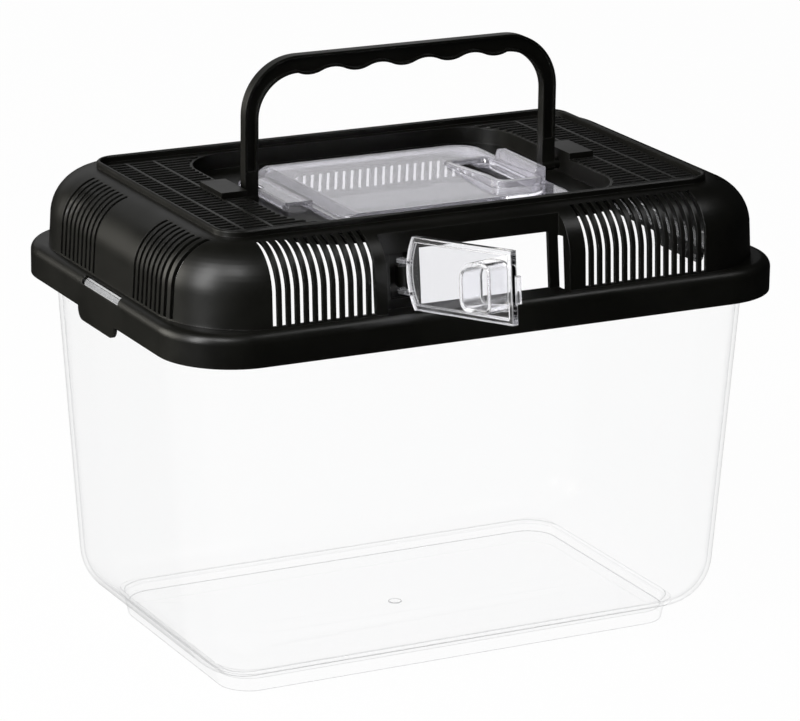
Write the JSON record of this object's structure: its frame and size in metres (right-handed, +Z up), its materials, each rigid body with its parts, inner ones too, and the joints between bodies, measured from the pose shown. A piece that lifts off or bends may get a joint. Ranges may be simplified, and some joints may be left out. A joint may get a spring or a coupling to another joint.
{
  "type": "pet keeper",
  "caption": "Clear tapered tank with a domed vented lid, folding carry handle, clear top hatch and clear swinging front door",
  "frame": {"origin": "centre of the flat foot's underside", "axes": "+Z up, +X along the length towards the window's catch side, front window faces -Y"},
  "size_m": [0.3, 0.2612, 0.2715],
  "materials": {
    "clear_tank": "clear moulded polystyrene, gloss",
    "black_plastic": "black moulded polypropylene, satin",
    "clear_tinted": "clear moulded polystyrene with a faint violet tint, gloss"
  },
  "bodies": {
    "tank": {"tank": "clear_tank"},
    "lid": {"lid": "black_plastic"},
    "handle": {"handle": "black_plastic"},
    "top_hatch": {"top_hatch": "clear_tinted"},
    "front_door": {"front_door": "clear_tinted"}
  },
  "joints": [
    {"name": "lid_lift", "type": "slide", "parent": "tank", "child": "lid", "axis": [0, 0, 1], "range_m": [0, 0.06]},
    {"name": "handle_fold", "type": "hinge", "parent": "lid", "child": "handle", "pos_m": [0, 0, 0.208], "axis": [1, 0, 0], "range_deg": [-90, 90]},
    {"name": "hatch_hinge", "type": "hinge", "parent": "lid", "child": "top_hatch", "pos_m": [-0.0642, 0, 0.2064], "axis": [0, -1, 0], "range_deg": [0, 22]},
    {"name": "door_hinge", "type": "hinge", "parent": "lid", "child": "front_door", "pos_m": [-0.0433, -0.0874, 0.19], "axis": [0, 0.1097, 0.994], "range_deg": [-20, 75]}
  ]
}
